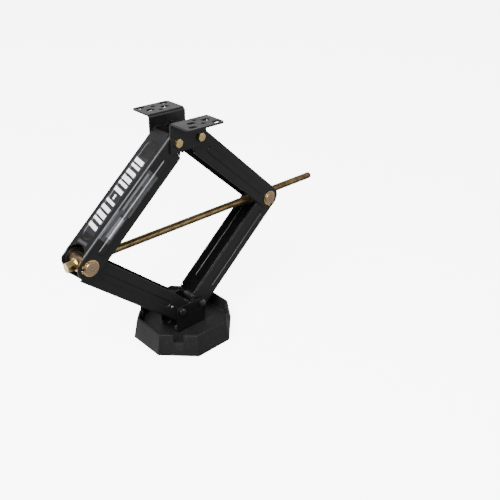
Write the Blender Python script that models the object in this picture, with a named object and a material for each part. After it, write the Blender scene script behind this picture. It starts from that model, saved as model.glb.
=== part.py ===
"""Scissor stabiliser jack for caravans, held part way up.

Frame: metres, +Z up, +X along the lead screw towards its free tip, -Y towards the bolt heads. The
origin is on the ground under the middle of the base pad. Four pressed U-section arms form a
diamond that is symmetric about the YZ plane; the lead screw crosses it at mid height.
"""

import math

import bmesh
import bpy
from mathutils import Matrix, Vector

# Linkage
ARM_LENGTH = 0.290            # pivot to pivot, all four arms
HALF_SPACING = 0.0285         # half the distance between a bracket's two pivots, and gear pitch radius
FOLD_ANGLE = math.radians(43.25)   # each arm above the horizontal
BASE_PIVOT_HEIGHT = 0.072
MOUNT_ABOVE_PIVOT = 0.042     # top pivots to the face that bolts to the vehicle
GAP = 0.0003                  # left between touching pieces

# Arms: sheet, half widths over the flanges, and the section about the inner pivot. The channel is
# turned a little against its pivot line, so its web stands further from the outer pin.
SHEET = 0.0035
UPPER_HALF_WIDTH = 0.0306
LOWER_HALF_WIDTH = 0.0266
SECTION_TILT = math.radians(1.63)
UPPER_WEB = 0.0194            # outer face of the web from the inner pivot
LOWER_WEB = 0.0249
UPPER_OPEN_EDGE = 0.0331      # free edge of a flange, on the other side of the pivot
LOWER_OPEN_EDGE = 0.0302
BEND_RADIUS = 0.005
WEB_INNER_END = -0.005        # where the web stops, along the arm
SCOOP_START = ARM_LENGTH - 0.027   # hollow cut into the web's outer end for the screw and its socket
SCOOP_CORNER = 0.010
BEAD_START = 0.037
BEAD_END = 0.262
UPPER_BEAD = -0.0075          # middle of the bead across the arm
LOWER_BEAD = -0.0025
BEAD_HALF_WIDTH = 0.0075
BEAD_HEIGHT = 0.0020
BEAD_DEPTH = 0.0015

# Gear teeth on the inner ends of the flanges
TEETH_ON_CIRCLE = 20
TOOTH_TIP = 0.0023            # above the pitch circle
TOOTH_ROOT = 0.0033           # below the pitch circle
TOOTH_WIDTHS = (0.0058, 0.0037, 0.0019)   # at the root, pitch and tip circles
TOOTH_COUNT = 7
FIRST_TOOTH = math.radians(180)

# Fasteners, 7/16 inch
BOLT_RADIUS = 0.00555
HOLE_RADIUS = 0.0059
SLEEVE_RADIUS = 0.0088
HEX_ACROSS_FLATS = 0.015875
HEAD_HEIGHT = 0.0064
NUT_HEIGHT = 0.0098
BOLT_PROUD = 0.003

# Brackets
TOP_PLATE = 0.0038
TOP_BRACKET_HALF_LENGTH = 0.045
TOP_BRACKET_BELOW_PIVOT = 0.020
TOP_FLANGE_REACH = 0.0900     # outer edge of the flange from the middle plane
TOP_BEND_RADIUS = 0.0055
SLOT_CENTRES = ((-0.014, 0.0590), (0.022, 0.0580), (-0.026, 0.0785), (0.031, 0.0800))
SLOT_SIZE = (0.0185, 0.0095)
SMALL_SLOT_CENTRES = ((0.0035, 0.0480), (0.0045, 0.0725))
SMALL_SLOT_SIZE = (0.0095, 0.0066)
BASE_PLATE = 0.0038
EAR_RADIUS = 0.0125
BASE_BRACKET_HALF_LENGTH = HALF_SPACING + EAR_RADIUS
FOOT_SCREWS = ((-0.031, -0.012), (-0.031, 0.012), (0.031, -0.012), (0.031, 0.012))

# Base pad: a moulded octagon, given by its apothems
PAD_FOOT = 0.109
PAD_FOOT_INSIDE = 0.1049
PAD_RIM = 0.1002
PAD_RIM_INSIDE = 0.0955
PAD_FLOOR = 0.0935
PAD_UNDERSIDE = 0.1015
PAD_HEIGHT = 0.0495
PAD_FLOOR_HEIGHT = 0.019
PAD_FLOOR_THICKNESS = 0.004
PAD_RIB = 0.004
PAD_BOSS_RADIUS = 0.018
NOTCH_WIDTH = 0.022
NOTCH_HEIGHT = 0.0306

# Trunnions, lead screw and what holds them
TRUNNION_RADIUS = 0.0141
TRUNNION_HALF_LENGTH = 0.0361
TRUNNION_HOLE = 0.0144
GROOVE_RADIUS = 0.0128
RING_THICKNESS = 0.0013
RING_INSIDE = 0.0131
RING_OUTSIDE = 0.0172
LUG_RADIUS = 0.0203
SPOT_FACE = 0.0128            # flat that a thrust washer bears on, from the middle
SPOT_FACE_RADIUS = 0.0158
SCREW_RADIUS = 0.00795
SCREW_TIP = 0.4154
DRIVE_HEX = 0.01905           # across flats, for a 3/4 inch socket
DRIVE_HEX_LENGTH = 0.0190
THRUST_WASHER = (0.0083, 0.0144, 0.0026)   # bore radius, outside radius, thickness
COLLAR_RADIUS = 0.0130
COLLAR_LENGTH = 0.0120
COLLAR_PIN_RADIUS = 0.0020

# Places that follow
PIN_ALONG = ARM_LENGTH * math.cos(SECTION_TILT)      # outer pin in a channel's own directions
PIN_ACROSS = -ARM_LENGTH * math.sin(SECTION_TILT)
CHANNEL_ANGLE = FOLD_ANGLE - SECTION_TILT
ARM_RUN = ARM_LENGTH * math.cos(FOLD_ANGLE)
ARM_RISE = ARM_LENGTH * math.sin(FOLD_ANGLE)
PIN_X = HALF_SPACING + ARM_RUN
SCREW_HEIGHT = BASE_PIVOT_HEIGHT + ARM_RISE
TOP_PIVOT_HEIGHT = BASE_PIVOT_HEIGHT + 2 * ARM_RISE
MOUNT_HEIGHT = TOP_PIVOT_HEIGHT + MOUNT_ABOVE_PIVOT
TOP_WEB_FACE = UPPER_HALF_WIDTH + GAP
BASE_EAR_FACE = LOWER_HALF_WIDTH + GAP
ROUND = 32                    # sides of a large turned piece
SMALL_ROUND = 20


def clear_scene():
    for obj in list(bpy.data.objects):
        bpy.data.objects.remove(obj, do_unlink=True)


def material(name, colour, roughness, metallic):
    made = bpy.data.materials.new(name)
    made.use_nodes = True
    shader = made.node_tree.nodes["Principled BSDF"]
    shader.inputs["Base Color"].default_value = (*colour, 1.0)
    shader.inputs["Roughness"].default_value = roughness
    shader.inputs["Metallic"].default_value = metallic
    return made


# Mesh builders. Each returns a bmesh of one closed body.

def prism(outline, low, high, axis="Y"):
    """Extrudes an outline. About Y it is drawn in X and Z, about Z in X and Y, about X in Y and Z."""
    place = {
        "X": lambda a, b, t: (t, a, b),
        "Y": lambda a, b, t: (a, t, b),
        "Z": lambda a, b, t: (a, b, t),
    }[axis]
    bm = bmesh.new()
    face = bm.faces.new([bm.verts.new(place(a, b, low)) for a, b in outline])
    top = bmesh.ops.extrude_face_region(bm, geom=[face])["geom"]
    moved = [v for v in top if isinstance(v, bmesh.types.BMVert)]
    bmesh.ops.translate(bm, verts=moved, vec=Vector(place(0, 0, high - low)))
    bmesh.ops.recalc_face_normals(bm, faces=bm.faces)
    return bm


def turned(profile, axis, sides=ROUND):
    """Turns (radius, position) points about an axis. A profile clear of the axis is a closed loop."""
    place = {
        "X": lambda r, t, a: (t, r * math.cos(a), r * math.sin(a)),
        "Y": lambda r, t, a: (r * math.sin(a), t, r * math.cos(a)),
        "Z": lambda r, t, a: (r * math.cos(a), r * math.sin(a), t),
    }[axis]
    bm = bmesh.new()
    rings = []
    for radius, position in profile:
        if radius == 0:
            rings.append([bm.verts.new(place(0, position, 0))] * sides)
        else:
            angles = [2 * math.pi * k / sides for k in range(sides)]
            rings.append([bm.verts.new(place(radius, position, a)) for a in angles])
    pairs = list(zip(rings, rings[1:]))
    if profile[0][0] > 0:
        pairs.append((rings[-1], rings[0]))
    for first, second in pairs:
        for k in range(sides):
            corners = (first[k], first[(k + 1) % sides], second[(k + 1) % sides], second[k])
            bm.faces.new(list(dict.fromkeys(corners)))
    bmesh.ops.recalc_face_normals(bm, faces=bm.faces)
    return bm


def cylinder(radius, low, high, axis, sides=ROUND):
    return turned([(0, low), (radius, low), (radius, high), (0, high)], axis, sides)


def tube(bore, radius, low, high, axis, sides=ROUND):
    return turned([(bore, low), (radius, low), (radius, high), (bore, high)], axis, sides)


def shifted(bm, x=0.0, y=0.0, z=0.0):
    bmesh.ops.translate(bm, verts=bm.verts, vec=(x, y, z))
    return bm


def joined(*parts):
    """Collects several closed bodies in one bmesh, for a cutter."""
    whole = bmesh.new()
    for part in parts:
        mesh = bpy.data.meshes.new("part")
        part.to_mesh(mesh)
        part.free()
        whole.from_mesh(mesh)
        bpy.data.meshes.remove(mesh)
    return whole


def arc(radius, start, end, steps, centre=(0.0, 0.0)):
    """Points along an arc, angles in radians."""
    angles = [start + (end - start) * k / steps for k in range(steps + 1)]
    return [(centre[0] + radius * math.cos(a), centre[1] + radius * math.sin(a)) for a in angles]


def stadium(length, width, centre, steps=6):
    """A slot outline that runs along the first axis."""
    half = (length - width) / 2
    right = arc(width / 2, -math.pi / 2, math.pi / 2, steps, (centre[0] + half, centre[1]))
    left = arc(width / 2, math.pi / 2, 1.5 * math.pi, steps, (centre[0] - half, centre[1]))
    return right + left


def hexagon(across_flats, turn=0.0, centre=(0.0, 0.0)):
    return arc(across_flats / math.sqrt(3), turn, turn + 5 * math.pi / 3, 5, centre)


# Objects

def add(name, bm, finish, parent=None, location=(0, 0, 0), rotation=(0, 0, 0)):
    mesh = bpy.data.meshes.new(name)
    bm.to_mesh(mesh)
    bm.free()
    mesh.shade_smooth()
    mesh.set_sharp_from_angle(angle=math.radians(35))
    obj = bpy.data.objects.new(name, mesh)
    bpy.context.scene.collection.objects.link(obj)
    obj.location = location
    obj.rotation_euler = rotation
    if finish:
        mesh.materials.append(finish)
    keep_place(obj, parent)
    return obj


def keep_place(obj, parent):
    """Parents an object without moving it."""
    if parent:
        bpy.context.view_layer.update()
        obj.parent = parent
        obj.matrix_parent_inverse = parent.matrix_world.inverted()


def joint(name, x, z, parent=None):
    """An empty on a joint's axis. The whole linkage folds about axes along Y."""
    empty = bpy.data.objects.new(name, None)
    empty.empty_display_size = 0.03
    empty.location = (x, 0, z)
    bpy.context.scene.collection.objects.link(empty)
    keep_place(empty, parent)
    return empty


def boolean(obj, bm, operation="DIFFERENCE"):
    """Cuts, joins or trims an object with a helper that shares its placement."""
    helper = add(f"{obj.name}_{operation.lower()}_{len(obj.modifiers)}", bm, None)
    helper.matrix_world = obj.matrix_world.copy()
    helper.parent = obj
    helper.matrix_parent_inverse = Matrix.Identity(4)
    helper.location = (0, 0, 0)
    helper.rotation_euler = (0, 0, 0)
    helper.hide_render = True
    helper.display_type = "WIRE"
    modifier = obj.modifiers.new(operation.title(), "BOOLEAN")
    modifier.operation = operation
    modifier.solver = "EXACT"
    modifier.object = helper


# Arms, drawn with the inner pivot at the origin, +X along the channel and +Z towards the web

def tooth_outline(phase):
    """The toothed part of a flange end, anticlockwise from the end of the arm round to its open edge."""
    pitch = 2 * math.pi / TEETH_ON_CIRCLE
    radii = (HALF_SPACING - TOOTH_ROOT, HALF_SPACING, HALF_SPACING + TOOTH_TIP)
    half_angles = [width / (2 * radius) for width, radius in zip(TOOTH_WIDTHS, radii)]
    points = []
    for k in range(TOOTH_COUNT):
        middle = FIRST_TOOTH - SECTION_TILT + phase + k * pitch
        for side, order in ((-1, (0, 1, 2)), (1, (2, 1, 0))):
            for level in order:
                angle = middle + side * half_angles[level]
                points.append((radii[level] * math.cos(angle), radii[level] * math.sin(angle)))
    return points


def flange_outline(web, open_edge, phase, nests):
    """A flange seen from the side. The end that nests inside another arm is rounded about the pin alone."""
    inner_end = arc(web, math.pi / 2, math.radians(163), 7)
    teeth = tooth_outline(phase)
    corner = (teeth[-1][0] + 0.004, -open_edge)
    if nests:
        radius = open_edge + PIN_ACROSS
        outer_end = arc(radius, -math.pi / 2, math.radians(75), 14, (PIN_ALONG, PIN_ACROSS))
        outer_end.append((PIN_ALONG - 0.001, web))
    else:
        radius = (web + open_edge) / 2
        outer_end = arc(radius, -math.pi / 2, math.pi / 2, 18, (PIN_ALONG, web - radius))
    return teeth + [corner] + outer_end + inner_end


def channel_profile(half_width, web):
    """The U section in Y and Z, open downwards, with bent corners."""
    inside = BEND_RADIUS - SHEET
    half = half_width - BEND_RADIUS
    outer = arc(BEND_RADIUS, 0, math.pi / 2, 3, (half, web - BEND_RADIUS))
    inner = arc(inside, math.pi / 2, 0, 2, (half, web - BEND_RADIUS))
    low = -0.05
    right = [(half_width, low)] + outer
    left = [(-y, z) for y, z in reversed(right)]
    inner_right = inner + [(half_width - SHEET, low)]
    inner_left = [(-y, z) for y, z in reversed(inner_right)]
    return right + left + inner_left + inner_right


def arm(name, finish, half_width, web, open_edge, nests, bead, phase, **placing):
    low, high = -0.045, ARM_LENGTH + 0.04
    obj = add(name, prism(channel_profile(half_width, web), low, high, "X"), finish, **placing)
    reach = half_width + 0.01
    boolean(obj, prism(flange_outline(web, open_edge, phase, nests), -reach, reach), "INTERSECT")
    inside = half_width - SHEET
    web_cut = [(low, web - SHEET - 0.0002), (WEB_INNER_END, web - SHEET - 0.0002)]
    web_cut += [(WEB_INNER_END, web + 0.01), (low, web + 0.01)]
    side = inside - 0.0002
    corner = (SCOOP_START + SCOOP_CORNER, side - SCOOP_CORNER)
    scoop = [(high, -side), (high, side)] + arc(SCOOP_CORNER, math.pi / 2, math.pi, 6, corner)
    scoop += [(x, -y) for x, y in reversed(scoop[2:])]
    cutters = [
        cylinder(HOLE_RADIUS, -reach, reach, "Y", SMALL_ROUND),
        shifted(cylinder(TRUNNION_HOLE, -reach, reach, "Y"), x=PIN_ALONG, z=PIN_ACROSS),
        prism(web_cut, -inside + 0.0002, inside - 0.0002),
        prism(scoop, web - BEND_RADIUS + 0.0002, web + 0.01, "Z"),
    ]
    length = BEAD_END - BEAD_START
    middle = ((BEAD_START + BEAD_END) / 2, bead)
    slot = stadium(length, 2 * BEAD_HALF_WIDTH, middle)
    if nests:
        near = half_width - BEAD_DEPTH
        cutters += [prism(slot, near, reach), prism(slot, -reach, -near)]
    boolean(obj, joined(*cutters))
    if not nests:
        root, top = half_width - SHEET / 2, half_width + BEAD_HEIGHT
        boolean(obj, joined(prism(slot, root, top), prism(slot, -top, -root)), "UNION")
    return obj


# Fasteners, along Y with the head at -Y

def bolt(name, finish, x, z, head_face, nut_face, turn, parent=None):
    """A hexagon bolt whose head bears at -head_face and whose nut bears at +nut_face."""
    end = nut_face + NUT_HEIGHT + BOLT_PROUD
    head = prism(hexagon(HEX_ACROSS_FLATS, turn), -head_face - HEAD_HEIGHT, -head_face)
    obj = add(name, head, finish, parent, (x, 0, z))
    shank = cylinder(BOLT_RADIUS, -head_face - HEAD_HEIGHT / 2, end, "Y", SMALL_ROUND)
    boolean(obj, shank, "UNION")
    return obj


def nut(name, finish, x, z, face, turn, parent=None):
    body = prism(hexagon(HEX_ACROSS_FLATS, turn), face, face + NUT_HEIGHT)
    obj = add(name, body, finish, parent, (x, 0, z))
    boolean(obj, cylinder(HOLE_RADIUS, face - 0.01, face + NUT_HEIGHT + 0.01, "Y", SMALL_ROUND))
    return obj


def sleeve(name, finish, x, z, half_length, parent=None):
    body = tube(HOLE_RADIUS, SLEEVE_RADIUS, -half_length, half_length, "Y", SMALL_ROUND)
    return add(name, body, finish, parent, (x, 0, z))


# Base

def octagon(apothem):
    turn = math.pi / 8
    return arc(apothem / math.cos(turn), turn, turn + 7 * math.pi / 4, 7)


def base_pad(finish):
    underside = PAD_FLOOR_HEIGHT - PAD_FLOOR_THICKNESS
    levels = [
        (PAD_FLOOR, PAD_FLOOR_HEIGHT), (PAD_RIM_INSIDE, PAD_HEIGHT), (PAD_RIM - 0.001, PAD_HEIGHT),
        (PAD_RIM, PAD_HEIGHT - 0.001), (PAD_FOOT, 0.0), (PAD_FOOT_INSIDE, 0.0),
        (PAD_UNDERSIDE, underside),
    ]
    bm = bmesh.new()
    rings = [[bm.verts.new((x, y, z)) for x, y in octagon(apothem)] for apothem, z in levels]
    for first, second in zip(rings, rings[1:]):
        for k in range(8):
            bm.faces.new((first[k], first[(k + 1) % 8], second[(k + 1) % 8], second[k]))
    bm.faces.new(rings[0])
    bm.faces.new(rings[-1])
    bmesh.ops.recalc_face_normals(bm, faces=bm.faces)
    obj = add("base_pad", bm, finish)

    half_low, half_high = PAD_FOOT - 0.003, PAD_UNDERSIDE + 0.002
    top = PAD_FLOOR_HEIGHT - PAD_FLOOR_THICKNESS / 2
    rib = [(-half_low, 0), (half_low, 0), (half_high, top), (-half_high, top)]
    for k in range(4):
        bar = prism(rib, -PAD_RIB / 2, PAD_RIB / 2)
        bmesh.ops.rotate(bar, verts=bar.verts, matrix=Matrix.Rotation(k * math.pi / 4, 3, "Z"))
        boolean(obj, bar, "UNION")
    boolean(obj, cylinder(PAD_BOSS_RADIUS, 0.0, top, "Z", 24), "UNION")

    notches = []
    width = NOTCH_WIDTH / 2
    corner = 0.004
    low = NOTCH_HEIGHT + corner
    outline = [(width, PAD_HEIGHT + 0.01), (-width, PAD_HEIGHT + 0.01)]
    outline += arc(corner, math.pi, 1.5 * math.pi, 3, (corner - width, low))
    outline += arc(corner, 1.5 * math.pi, 2 * math.pi, 3, (width - corner, low))
    for k in range(4):
        cut = prism(outline, PAD_FLOOR - 0.003, PAD_FOOT + 0.01)
        turn = Matrix.Rotation(math.pi / 4 + k * math.pi / 2, 3, "Z")
        bmesh.ops.rotate(cut, verts=cut.verts, matrix=turn)
        notches.append(cut)
    boolean(obj, joined(*notches))


def base_bracket(finish):
    """A U-shaped bracket: a foot on the pad's floor and an ear plate outside each pair of arms."""
    foot_low = PAD_FLOOR_HEIGHT + GAP
    foot_high = foot_low + BASE_PLATE
    inner = BASE_EAR_FACE
    outer = inner + BASE_PLATE
    half = BASE_BRACKET_HALF_LENGTH
    corner_inside = 0.0015
    profile = [(outer, 0.1), (outer, foot_low + 0.004)]
    profile += arc(0.004, 0, -math.pi / 2, 3, (outer - 0.004, foot_low + 0.004))[1:]
    right_inner = arc(corner_inside, -math.pi / 2, 0, 2, (inner - corner_inside, foot_high + corner_inside))
    right_inner.append((inner, 0.1))
    section = profile + [(-y, z) for y, z in reversed(profile)]
    section += [(-y, z) for y, z in reversed(right_inner)] + right_inner
    obj = add("base_bracket", prism(section, -half, half, "X"), finish)

    side = [(half, foot_low - 0.001)]
    side += arc(EAR_RADIUS, 0, math.pi / 2, 8, (HALF_SPACING, BASE_PIVOT_HEIGHT))
    outline = side + [(-x, z) for x, z in reversed(side)]
    boolean(obj, prism(outline, -0.04, 0.04), "INTERSECT")
    holes = [
        shifted(cylinder(HOLE_RADIUS, -0.04, 0.04, "Y", SMALL_ROUND), x=x, z=BASE_PIVOT_HEIGHT)
        for x in (-HALF_SPACING, HALF_SPACING)
    ]
    holes += [
        shifted(cylinder(0.0036, foot_low - 0.005, foot_high + 0.005, "Z", 12), x, y)
        for x, y in FOOT_SCREWS
    ]
    boolean(obj, joined(*holes))


def foot_screws(finish):
    """Button-headed screws that would thread into the pad; their shanks end at the pad's floor."""
    bottom = PAD_FLOOR_HEIGHT + GAP
    seat = bottom + BASE_PLATE + GAP
    for k, (x, y) in enumerate(FOOT_SCREWS):
        profile = [(0, bottom), (0.0032, bottom), (0.0032, seat), (0.0062, seat),
                   (0.0062, seat + 0.0014), (0.0050, seat + 0.0030), (0.0026, seat + 0.0037),
                   (0, seat + 0.0037)]
        add(f"foot_screw_{k + 1}", turned(profile, "Z", 16), finish, location=(x, y, 0))


# Top brackets

def top_bracket(name, finish, side, parent):
    """An angle bracket; side is -1 for the front one and +1 for the rear one, turned half a circle."""
    low = -TOP_BRACKET_BELOW_PIVOT
    high = MOUNT_ABOVE_PIVOT
    web_in, web_out = TOP_WEB_FACE, TOP_WEB_FACE + TOP_PLATE
    bend = TOP_BEND_RADIUS
    inside = bend - TOP_PLATE
    section = [(web_in, low), (web_out, low)]
    section += arc(inside, math.pi, math.pi / 2, 2, (web_in + bend, high - bend))
    section += [(TOP_FLANGE_REACH, high - TOP_PLATE), (TOP_FLANGE_REACH, high)]
    section += arc(bend, math.pi / 2, math.pi, 4, (web_in + bend, high - bend))
    half = TOP_BRACKET_HALF_LENGTH
    turn = 0 if side > 0 else math.pi
    obj = add(name, prism(section, -half, half, "X"), finish, parent,
              (0, 0, TOP_PIVOT_HEIGHT), (0, 0, turn))
    cutters = [
        prism(stadium(*SLOT_SIZE, (-x, y)), high - 0.01, high + 0.01, "Z") for x, y in SLOT_CENTRES
    ]
    cutters += [
        prism(stadium(*SMALL_SLOT_SIZE, (-x, y), 4), high - 0.01, high + 0.01, "Z")
        for x, y in SMALL_SLOT_CENTRES
    ]
    cutters += [
        shifted(cylinder(HOLE_RADIUS, web_in - 0.01, web_out + 0.003, "Y", SMALL_ROUND), x=x)
        for x in (-HALF_SPACING, HALF_SPACING)
    ]
    boolean(obj, joined(*cutters))
    corner = 0.007
    reach = TOP_FLANGE_REACH
    outline = [(-half - 0.01, 0), (half + 0.01, 0), (half + 0.01, reach - 0.02), (half, reach - 0.02)]
    outline += arc(corner, 0, math.pi / 2, 4, (half - corner, reach - corner))
    outline += [(-x, y) for x, y in reversed(outline[3:])] + [(-half - 0.01, reach - 0.02)]
    boolean(obj, prism(outline, low - 0.01, high + 0.01, "Z"), "INTERSECT")


# Trunnions and screw

def trunnion(name, finish, x, bore, spot_faced, parent):
    """A round cross pin with a retaining ring groove at each end and a bore for the screw."""
    half, chamfer = TRUNNION_HALF_LENGTH, 0.0012
    ring_low = UPPER_HALF_WIDTH + GAP
    groove = (ring_low - GAP / 2, ring_low + RING_THICKNESS + GAP)
    end = [(TRUNNION_RADIUS, groove[0]), (GROOVE_RADIUS, groove[0]), (GROOVE_RADIUS, groove[1]),
           (TRUNNION_RADIUS, groove[1]), (TRUNNION_RADIUS, half - chamfer),
           (TRUNNION_RADIUS - chamfer, half), (0, half)]
    profile = [(r, -t) for r, t in reversed(end)] + end
    obj = add(name, turned(profile, "Y", 40), finish, parent, (x, 0, SCREW_HEIGHT))
    if spot_faced:
        for side in (-1, 1):
            low, high = sorted((side * SPOT_FACE, side * 0.03))
            boolean(obj, cylinder(SPOT_FACE_RADIUS, low, high, "X"))
    boolean(obj, cylinder(bore, -0.03, 0.03, "X", SMALL_ROUND))


def retaining_ring(name, finish, x, side, opening, parent):
    """An open ring with two lugs, sprung into a trunnion's groove."""
    gap, lug = math.radians(10), math.radians(15)
    low = UPPER_HALF_WIDTH + GAP
    high = low + RING_THICKNESS
    start, end = opening + gap, opening + 2 * math.pi - gap
    outline = arc(LUG_RADIUS, start, start + lug, 3)
    outline += arc(RING_OUTSIDE, start + lug + 0.05, end - lug - 0.05, 28)
    outline += arc(LUG_RADIUS, end - lug, end, 3)
    outline += arc(RING_INSIDE, end, start, 30)
    low, high = sorted((side * low, side * high))
    add(name, prism(outline, low, high), finish, parent, (x, 0, SCREW_HEIGHT))


def screw_parts(gold, steel, parent):
    """The lead screw and everything that turns with it, placed from the drive trunnion's axis."""
    place = {"parent": parent, "location": (-PIN_X, 0, SCREW_HEIGHT)}
    washer_bore, washer_radius, washer = THRUST_WASHER
    washer_low = SPOT_FACE + GAP
    washer_high = washer_low + washer
    hex_low = washer_high + GAP
    collar_high = hex_low + COLLAR_LENGTH
    collar_middle = (hex_low + collar_high) / 2
    tip = SCREW_TIP + PIN_X
    chamfer = 0.0015

    rod = [(0, -washer_high), (SCREW_RADIUS, -washer_high), (SCREW_RADIUS, tip - chamfer),
           (SCREW_RADIUS - chamfer, tip), (0, tip)]
    screw = add("lead_screw", turned(rod, "X", 24), gold, **place)
    pin_hole = COLLAR_PIN_RADIUS + GAP
    boolean(screw, shifted(cylinder(pin_hole, -0.02, 0.02, "Y", 12), x=collar_middle))

    turn = math.pi / 2
    head = prism(hexagon(DRIVE_HEX, turn), -hex_low - DRIVE_HEX_LENGTH, -hex_low, "X")
    add("drive_hex", head, gold, **place)
    for name, low, high in (("outer_thrust_washer", -washer_high, -washer_low),
                            ("inner_thrust_washer", washer_low, washer_high)):
        add(name, tube(washer_bore, washer_radius, low, high, "X"), gold, **place)
    collar = add("stop_collar", tube(washer_bore, COLLAR_RADIUS, hex_low, collar_high, "X"), steel, **place)
    boolean(collar, shifted(cylinder(pin_hole, -0.02, 0.02, "Y", 12), x=collar_middle))
    pin = shifted(cylinder(COLLAR_PIN_RADIUS, -0.0125, 0.0125, "Y", 12), x=collar_middle)
    add("collar_pin", pin, steel, **place)


def build():
    clear_scene()
    black = material("satin_black_paint", (0.012, 0.012, 0.013), 0.38, 0.0)
    pad_black = material("matte_black_moulding", (0.020, 0.020, 0.022), 0.62, 0.0)
    gold = material("yellow_zinc_plate", (0.62, 0.47, 0.22), 0.30, 1.0)
    zinc = material("clear_zinc_plate", (0.52, 0.52, 0.50), 0.35, 1.0)
    steel = material("plain_steel", (0.36, 0.35, 0.34), 0.45, 1.0)

    base_pad(pad_black)
    base_bracket(black)
    foot_screws(zinc)
    base_head = BASE_EAR_FACE + BASE_PLATE + GAP
    for side, word in ((-1, "left"), (1, "right")):
        x = side * HALF_SPACING
        turn = math.radians(8 if side < 0 else 22)
        bolt(f"{word}_base_bolt", zinc, x, BASE_PIVOT_HEIGHT, base_head, base_head, turn)
        nut(f"{word}_base_nut", zinc, x, BASE_PIVOT_HEIGHT, base_head, turn + 0.4)
        sleeve(f"{word}_base_sleeve", steel, x, BASE_PIVOT_HEIGHT, LOWER_HALF_WIDTH - SHEET - GAP)

    left_lower = joint("left_lower_arm_joint", -HALF_SPACING, BASE_PIVOT_HEIGHT)
    right_lower = joint("right_lower_arm_joint", HALF_SPACING, BASE_PIVOT_HEIGHT)
    left_upper = joint("left_upper_arm_joint", -PIN_X, SCREW_HEIGHT, left_lower)
    right_upper = joint("right_upper_arm_joint", PIN_X, SCREW_HEIGHT, right_lower)
    drive_joint = joint("drive_trunnion_joint", -PIN_X, SCREW_HEIGHT, left_lower)
    screw_joint = joint("lead_screw_joint", -PIN_X, SCREW_HEIGHT, drive_joint)
    nut_joint = joint("nut_trunnion_joint", PIN_X, SCREW_HEIGHT, right_lower)
    top = joint("top_bracket_joint", -HALF_SPACING, TOP_PIVOT_HEIGHT, left_upper)

    half_pitch = math.pi / TEETH_ON_CIRCLE
    lower = {"half_width": LOWER_HALF_WIDTH, "web": LOWER_WEB, "open_edge": LOWER_OPEN_EDGE,
             "nests": True, "bead": LOWER_BEAD}
    upper = {"half_width": UPPER_HALF_WIDTH, "web": UPPER_WEB, "open_edge": UPPER_OPEN_EDGE,
             "nests": False, "bead": UPPER_BEAD}
    low_at = {"location": (-HALF_SPACING, 0, BASE_PIVOT_HEIGHT)}
    arm("left_lower_arm", black, phase=half_pitch, parent=left_lower, **low_at,
        rotation=(0, math.pi + CHANNEL_ANGLE, 0), **lower)
    low_at = {"location": (HALF_SPACING, 0, BASE_PIVOT_HEIGHT)}
    arm("right_lower_arm", black, phase=0.0, parent=right_lower, **low_at,
        rotation=(math.pi, -CHANNEL_ANGLE, 0), **lower)
    high_at = {"location": (-HALF_SPACING, 0, TOP_PIVOT_HEIGHT)}
    arm("left_upper_arm", black, phase=half_pitch, parent=left_upper, **high_at,
        rotation=(0, CHANNEL_ANGLE, math.pi), **upper)
    high_at = {"location": (HALF_SPACING, 0, TOP_PIVOT_HEIGHT)}
    arm("right_upper_arm", black, phase=0.0, parent=right_upper, **high_at,
        rotation=(0, CHANNEL_ANGLE, 0), **upper)

    rivet_along, rivet_across = 0.031, -0.0005
    sine, cosine = math.sin(CHANNEL_ANGLE), math.cos(CHANNEL_ANGLE)
    rivet_x = -HALF_SPACING - rivet_along * cosine - rivet_across * sine
    rivet_z = BASE_PIVOT_HEIGHT + rivet_along * sine - rivet_across * cosine
    face = LOWER_HALF_WIDTH + GAP
    rivet = [(0, -face - 0.0024), (0.0022, -face - 0.0022), (0.0038, -face - 0.0010),
             (0.0042, -face), (0, -face)]
    add("lower_arm_rivet", turned(rivet, "Y", 16), zinc, left_lower, (rivet_x, 0, rivet_z))

    top_head = TOP_WEB_FACE + TOP_PLATE + GAP
    top_bracket("front_top_bracket", black, -1, top)
    top_bracket("rear_top_bracket", black, 1, top)
    for side, word in ((-1, "left"), (1, "right")):
        x = side * HALF_SPACING
        turn = math.radians(12 if side < 0 else 25)
        bolt(f"{word}_top_bolt", gold, x, TOP_PIVOT_HEIGHT, top_head, top_head, turn, top)
        nut(f"{word}_top_nut", gold, x, TOP_PIVOT_HEIGHT, top_head, turn + 0.3, top)
        sleeve(f"{word}_top_sleeve", steel, x, TOP_PIVOT_HEIGHT, UPPER_HALF_WIDTH - SHEET - GAP, top)

    trunnion("drive_trunnion", gold, -PIN_X, SCREW_RADIUS + 0.0004, True, drive_joint)
    trunnion("nut_trunnion", gold, PIN_X, SCREW_RADIUS + GAP, False, nut_joint)
    for word, x, opening, parent in (("drive", -PIN_X, math.radians(165), drive_joint),
                                     ("nut", PIN_X, math.radians(290), nut_joint)):
        retaining_ring(f"{word}_front_ring", gold, x, -1, opening, parent)
        retaining_ring(f"{word}_rear_ring", gold, x, 1, opening, parent)
    screw_parts(gold, steel, screw_joint)


build()
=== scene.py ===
"""Looks of the scissor stabiliser jack: pressed arms and brackets, moulded pad, plated bolts and screw.

Row frame: metres, +Z up, +X along the lead screw towards its free tip, -Y towards the bolt heads.
"""

import math

import bpy
import numpy as np
from mathutils import Euler, Matrix, Vector
from mathutils.geometry import delaunay_2d_cdt


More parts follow.
